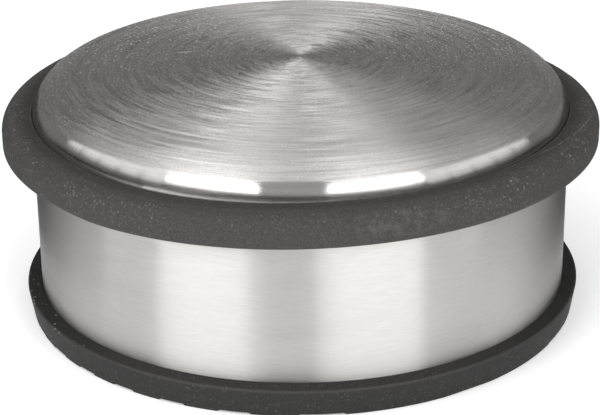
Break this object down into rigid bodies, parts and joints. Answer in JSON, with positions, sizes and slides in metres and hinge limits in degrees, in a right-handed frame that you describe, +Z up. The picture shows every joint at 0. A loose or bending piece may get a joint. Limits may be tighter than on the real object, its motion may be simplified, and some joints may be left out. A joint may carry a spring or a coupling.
{
  "type": "floor door stop",
  "caption": "Weighted round floor door stop: domed brushed steel cup with a grey rubber bumper ring in a groove and a ribbed rubber base.",
  "frame": {"origin": "on the floor, at the centre of the base", "axes": "+Z up along the cup's axis; -Y towards the side that the picture shows; +X to the right in the picture"},
  "size_m": [0.1, 0.1, 0.0425],
  "materials": {
    "brushed_steel": "stainless sheet, brushed in circles about the axis, satin",
    "ring_rubber": "matte dark grey, a little dusty",
    "base_rubber": "matte charcoal, moulded, ribbed tread",
    "cast_iron": "rough as cast"
  },
  "bodies": {
    "root": {"steel_shell": "brushed_steel", "bumper_ring": "ring_rubber", "rubber_base": "base_rubber", "iron_weight": "cast_iron"}
  },
  "joints": []
}
